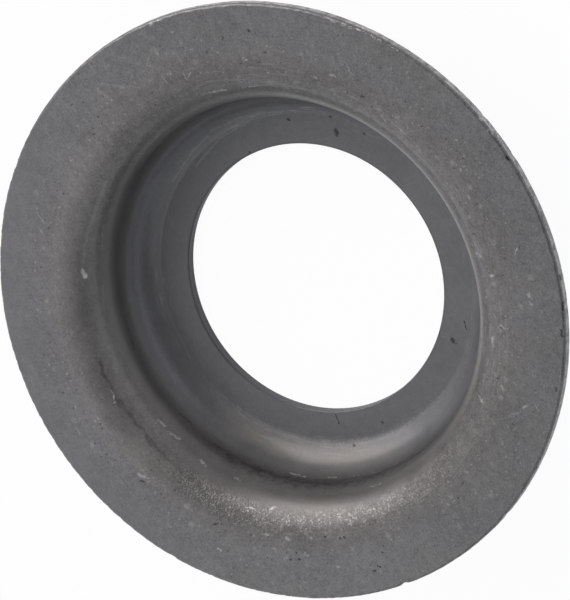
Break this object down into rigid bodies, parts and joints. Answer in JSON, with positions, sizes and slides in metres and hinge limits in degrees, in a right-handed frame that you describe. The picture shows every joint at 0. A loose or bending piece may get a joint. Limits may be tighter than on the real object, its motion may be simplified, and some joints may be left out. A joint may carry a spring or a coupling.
{
  "type": "valve spring seat",
  "caption": "Drawn sheet-steel cup with a wide flat flange and a punched hole in its floor; it seats an engine valve spring and centres it around the valve guide.",
  "frame": {"origin": "centre of the ring the part stands on, under the cup's floor", "axes": "+Z along the axis, out of the cup's mouth; the part is the same all round, so X and Y are free"},
  "size_m": [0.038, 0.038, 0.0065],
  "materials": {
    "drawn_steel": "matt dark grey sheet steel, lightly scuffed, with bright wear at the folds"
  },
  "bodies": {
    "root": {"spring_seat": "drawn_steel"}
  },
  "joints": []
}
